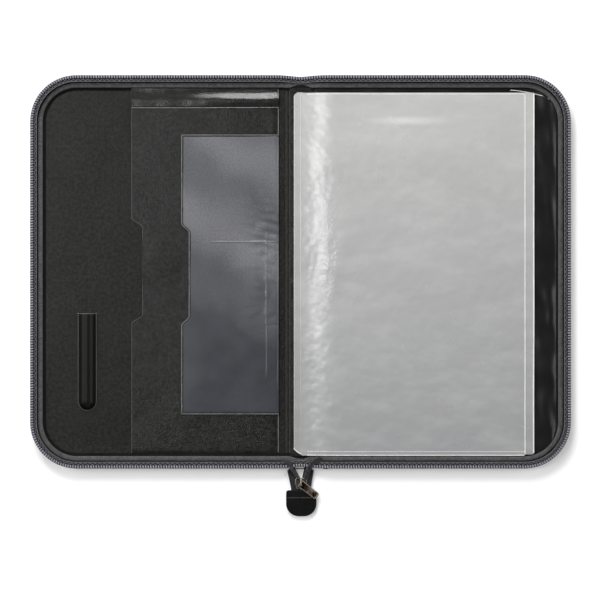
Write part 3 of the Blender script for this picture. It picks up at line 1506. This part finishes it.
@dataclass
class ZipEnd:
    """The zip's two tails, its slider and puller, and the leather tab on its end."""

    sizes: CaseSizes
    left_route: Sequence[Triple] = (
        (-15, -179.4, 9.6), (-12, -181.5, 9.3), (-9.5, -185, 8.6), (-7.4, -188.5, 6.4), (-5.4, -191.5, 4.4),
        (-3, -195, 3.8), (-1.6, -198, 3.4),
    )
    right_route: Sequence[Triple] = (
        (20, -177.2, 9.8), (15, -179.4, 9.6), (11, -182.6, 9.2), (8.2, -186.5, 8),
        (6.8, -190, 5.2), (6, -194, 3.9),
        (4.6, -198.5, 3.6),
    )
    thread_route: Sequence[Triple] = ((21.5, -186.9, 9.8), (24, -186.9, 10.3), (26.5, -186.9, 10.6))
    strand_split: float = -184 * MM
    hole_at: Point = (13.34 * MM, -212.08 * MM)
    hole_r: float = 2.25 * MM

    def build(self) -> None:
        """Makes the pieces below the spine."""
        for word in ("left", "right"):
            tail = finished_copy(f"zip_tail_tape_{word}", f"zip_tail_{word}", "zip_tape", 0.12 * MM, 1)
            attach(tail, "spine")
        self.build_strand(Side.FRONT, 1.9 * MM, self.left_route)
        self.build_strand(Side.BACK, 2.5 * MM, self.right_route)
        across = stations(-5.2 * MM, 11 * MM, 2 * MM)
        route = [Vector((x, -self.sizes.half_h - 0.6 * MM, 2.2 * MM)) for x in across]
        thread = finish_piece("spine_brown_thread", tube(route, 0.55 * MM, 6), "zip_tape", "brown_thread")
        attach(thread, "spine")
        route = [Vector(p) * MM for p in self.thread_route]
        thread = finish_piece("side_brown_thread", tube(route, 0.7 * MM, 6), "zip_tape", "brown_thread")
        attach(thread, "back_side")
        slider = finished_copy("zip_slider", "slider_body", "slider_metal", 0.28 * MM)
        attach(slider, "slider")
        pull = finished_copy("zip_puller", "zip_pull", "pull_metal", 0.26 * MM)
        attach(pull, "puller")
        self.build_grommet()
        self.build_tab()

    def build_grommet(self) -> None:
        """Makes the dark grommet in the puller's hole."""
        low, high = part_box("zip_pull")
        bm = bmesh.new()
        at = Matrix.Translation((*self.hole_at, 0.5 * (low.z + high.z)))
        bmesh.ops.create_cone(
            bm, cap_ends=True, segments=32, radius1=self.hole_r, radius2=self.hole_r, depth=0.8 * MM,
            matrix=at,
        )
        rims = [e for e in bm.edges if abs(e.verts[0].co.z - e.verts[1].co.z) < 1e-6]
        round_edges(bm, rims, 0.25 * MM, 2)
        grommet = finish_piece("zip_puller_grommet", bm, "pull_metal", "edging_vinyl")
        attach(grommet, "puller")

    def build_strand(self, side: Side, half_w: float, route: Sequence[Triple]) -> None:
        """Makes the end of one coil, which comes over the rim and lies on its tail as a ribbed strand.

        Args:
            side: the half that the coil comes from.
            half_w: half the strand's width.
            route: the strand's points in millimetres.
        """
        points = [Vector(p) * MM for p in route]
        turn = next(n for n, point in enumerate(points) if point.y < self.strand_split)
        for piece in self.strand_pieces(f"coil_start_{side.word}", points[: turn + 1], half_w):
            self.sizes.blend(piece, side, 3 * MM)
        for piece in self.strand_pieces(f"coil_end_{side.word}", points[turn:], half_w):
            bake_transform(piece)

    def strand_pieces(self, name: str, points: Sequence[Vector], half_w: float) -> list[Piece]:
        """Makes a stretch of strand: its ribs, and the dark bed that they lie in.

        Args:
            name: the ribs' name.
            points: the line that the strand follows.
            half_w: half the strand's width.

        Returns:
            The two pieces.
        """
        bm = bmesh.new()
        places = []
        for a, b in zip(points, points[1:]):
            count = max(1, round((b - a).length / (1.25 * MM)))
            facing = (b - a).to_track_quat("X", "Z").to_matrix().to_4x4()
            places += [Matrix.Translation(a.lerp(b, (n + 0.5) / count)) @ facing for n in range(count)]
        stamp(bm, block((1.05 * MM, 2 * half_w, 1.5 * MM), 0.35 * MM), places)
        ribs = finish_piece(name, bm, "zip_coil", "strand")
        bed = finish_piece(f"{name}_bed", tube(points, 0.85 * half_w, 8, 0.35), "zip_tape", "hem")
        return [ribs, bed]

    def build_tab(self) -> None:
        """Makes the end tab with its pressed seam."""
        for half in ("front", "back"):
            piece = finished_copy(f"end_tab_{half}_leather", f"end_tab_{half}", "tab_leather", 0.55 * MM, 3)
            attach(piece, "spine")
        low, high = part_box("end_tab_front")
        seam_y = high.y - 7 * MM
        seam = [Vector((x, seam_y, high.z)) for x in stations(low.x + 0.8 * MM, high.x - 0.8 * MM, 2 * MM)]
        line = finish_piece("end_tab_seam", tube(seam, 0.32 * MM, 6, 0.8), "tab_leather", "weld")
        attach(line, "spine")


# ---------------------------------------------------------------- studio


@dataclass
class Studio:
    """The floor, the lights and the camera."""

    view_w: float = 0.570
    camera_h: float = 2.4
    aim: Point = (-0.0005, -0.0268)
    subject_z: float = 0.012
    sensor: float = 36.0
    floor_glow: float = 0.15
    floor_size: float = 6.0
    floor_drop: float = 0.3 * MM
    room_light: float = 0.08

    def build(self) -> None:
        """Sets up the studio."""
        self.build_floor()
        self.build_world()
        self.light("key", (-0.5, 1.6, 1.5), (1.2, 1.0), 47.0)
        self.light("left", (-1.7, 0.2, 1.2), (1.2, 1.4), 16.0)
        self.light("fill", (1.7, 0.1, 1.2), (1.4, 1.4), 16.0)
        self.light("front", (0.2, -1.7, 1.2), (1.4, 1.0), 4.5)
        self.light("crown", (-0.75, 0.15, 2.1), (0.3, 0.5), 9.0)
        self.build_camera()
        bpy.context.scene.view_settings.view_transform = "Standard"

    def build_floor(self) -> None:
        """Makes the pale floor."""
        bm = bmesh.new()
        down = Matrix.Translation((0.0, 0.0, -self.floor_drop))
        bmesh.ops.create_grid(bm, x_segments=1, y_segments=1, size=self.floor_size, matrix=down)
        mesh = bpy.data.meshes.new("floor")
        bm.to_mesh(mesh)
        bm.free()
        floor = linked("floor", mesh)
        graph = Graph("floor_paint")
        graph.set(Base_Color=(0.93, 0.93, 0.93), Roughness=0.9, Specular_IOR_Level=0.1)
        graph.set(Emission_Color=(1.0, 1.0, 1.0), Emission_Strength=self.floor_glow)
        mesh.materials.append(graph.material)

    def build_world(self) -> None:
        """Makes the even light of a white room."""
        world = bpy.data.worlds.new("studio")
        world.use_nodes = True
        background = world.node_tree.nodes["Background"]
        background.inputs["Color"].default_value = (1.0, 1.0, 1.0, 1.0)
        background.inputs["Strength"].default_value = self.room_light
        bpy.context.scene.world = world

    def light(self, name: str, place: Triple, size: Point, power: float) -> None:
        """Adds a soft light that faces the middle of the case.

        Args:
            name: the light's name.
            place: where it stands.
            size: its width and height.
            power: its power in watts.
        """
        data = bpy.data.lights.new(name, "AREA")
        data.shape = "RECTANGLE"
        data.size, data.size_y = size
        data.energy = power
        lamp = linked(name, data)
        lamp.location = place
        lamp.rotation_euler = (-Vector(place)).to_track_quat("-Z", "Y").to_euler()

    def build_camera(self) -> None:
        """Makes the camera, which looks straight down."""
        data = bpy.data.cameras.new("camera")
        data.sensor_width = self.sensor
        data.lens = self.sensor * (self.camera_h - self.subject_z) / self.view_w
        camera = linked("camera", data)
        camera.location = (*self.aim, self.camera_h)
        bpy.context.scene.camera = camera


DRESSER = Dresser()
STAYING = {
    "front_board": "board",
    "back_board": "board",
    "spine_board": "board",
    "fold_bead_front": "weld",
    "fold_bead_back": "weld",
}


def dress_boards() -> None:
    """Gives the CAD nodes that stay their own finishes."""
    for name, finish in STAYING.items():
        DRESSER.dress(frame["nodes"][name], finish)
        LOG.info("%s stays, with the %s finish", name, finish)


def main() -> None:
    """Builds the case and the studio, and notes the model's size before and after."""
    logging.basicConfig(level=logging.INFO, format="%(name)s: %(message)s")
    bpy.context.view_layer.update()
    case = CaseSizes()
    Shell(case).build()
    for side in Side:
        ZipEdge(case, side).build()
    Pockets().build()
    Pages(case).build()
    ZipEnd(case).build()
    dress_boards()
    Studio().build()


if __name__ == "__main__":
    main()
